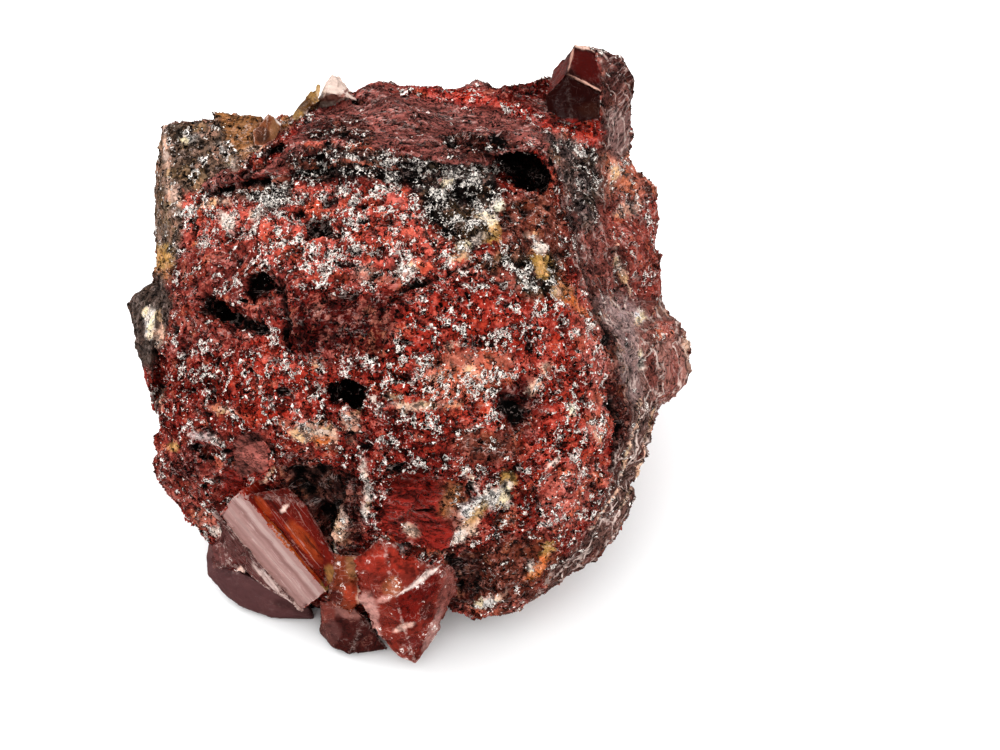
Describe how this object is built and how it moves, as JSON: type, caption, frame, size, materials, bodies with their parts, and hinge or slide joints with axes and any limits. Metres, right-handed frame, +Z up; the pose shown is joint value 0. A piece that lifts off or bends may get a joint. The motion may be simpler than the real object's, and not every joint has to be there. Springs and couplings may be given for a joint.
{
  "type": "raw calcite",
  "caption": "Rough lump of red calcite with a sugary broken face, cleavage blocks standing out of its edges, vugs under a ledge and a flat broken foot to rest on.",
  "frame": {"origin": "on the surface that the lump rests on, under the middle of its bounding box", "axes": "+Z up, +X along the longest extent, the broad sugary face towards -Y and tilted up"},
  "size_m": [0.1464, 0.1358, 0.1061],
  "materials": {
    "calcite": "satin"
  },
  "bodies": {
    "root": {"calcite_lump": "calcite"}
  },
  "joints": []
}
